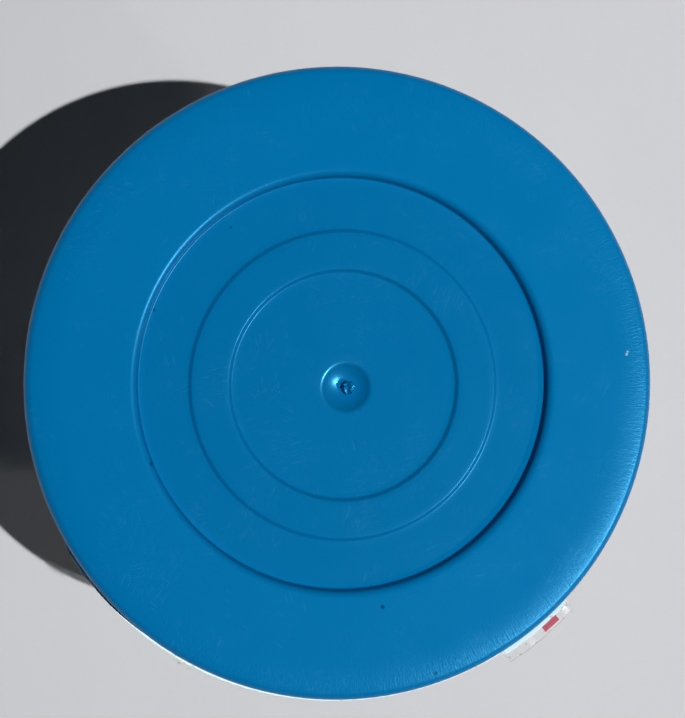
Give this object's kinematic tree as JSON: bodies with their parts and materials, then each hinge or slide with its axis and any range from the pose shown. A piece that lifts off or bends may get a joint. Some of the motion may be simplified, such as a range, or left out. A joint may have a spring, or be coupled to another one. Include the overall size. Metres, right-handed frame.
{
  "type": "spinning top",
  "caption": "Throwing top with a ball-bearing tip: clear stepped body, steel weight ring and a blue push-fit cap with a stepped, dished face.",
  "frame": {"origin": "lowest point of the tip ball, where the top stands on the ground", "axes": "+Z along the spin axis, up towards the cap; the film's torn tab points towards +X -Y"},
  "size_m": [0.1, 0.1005, 0.082],
  "materials": {
    "blue_plastic": "satin moulded polyethylene, fine scratches",
    "clear_plastic": "clear moulded polystyrene",
    "film": "thin clear shrink film with plain red blocks",
    "white_plastic": "satin moulded nylon",
    "cage_plastic": "moulded nylon, tan",
    "hub_metal": "turned aluminium",
    "weight_steel": "turned steel, zinc plated",
    "bearing_steel": "ground bearing steel",
    "ball_steel": "polished hardened steel",
    "holder_brass": "turned brass",
    "black_steel": "black oxide steel",
    "screw_steel": "zinc plated steel"
  },
  "bodies": {
    "tip_axle": {"tip_ball": "ball_steel", "tip_holder": "holder_brass", "lower_shim": "screw_steel", "lower_inner_race": "bearing_steel", "inner_spacer": "screw_steel", "upper_inner_race": "bearing_steel", "head_washer": "screw_steel", "axle_bolt": "black_steel"},
    "top_body": {"lower_outer_race": "bearing_steel", "upper_outer_race": "bearing_steel", "lower_shields": "screw_steel", "upper_shields": "screw_steel", "outer_spacer": "screw_steel", "retaining_ring": "black_steel", "bearing_hub": "hub_metal", "hub_nut": "hub_metal", "body_shell": "clear_plastic", "weight_carrier": "white_plastic", "carrier_screws": "screw_steel", "flywheel_ring": "weight_steel", "ring_screws": "screw_steel", "printed_band": "film"},
    "lower_ball_set": {"lower_balls": "ball_steel", "lower_cage": "cage_plastic"},
    "upper_ball_set": {"upper_balls": "ball_steel", "upper_cage": "cage_plastic"},
    "cap_body": {"cap": "blue_plastic"}
  },
  "joints": [
    {"name": "spin", "type": "hinge", "parent": "tip_axle", "child": "top_body", "pos_m": [0, 0, 0.0235], "axis": [0, 0, 1], "continuous": true},
    {"name": "lower_balls_roll", "type": "hinge", "parent": "tip_axle", "child": "lower_ball_set", "pos_m": [0, 0, 0.0185], "axis": [0, 0, 1], "continuous": true},
    {"name": "upper_balls_roll", "type": "hinge", "parent": "tip_axle", "child": "upper_ball_set", "pos_m": [0, 0, 0.0295], "axis": [0, 0, 1], "continuous": true},
    {"name": "cap_lift", "type": "slide", "parent": "top_body", "child": "cap_body", "axis": [0, 0, 1], "range_m": [0, 0.03]}
  ],
  "couplings": [
    {"joint": "lower_balls_roll", "follows": "spin", "ratio": 0.63333},
    {"joint": "upper_balls_roll", "follows": "spin", "ratio": 0.63333}
  ]
}
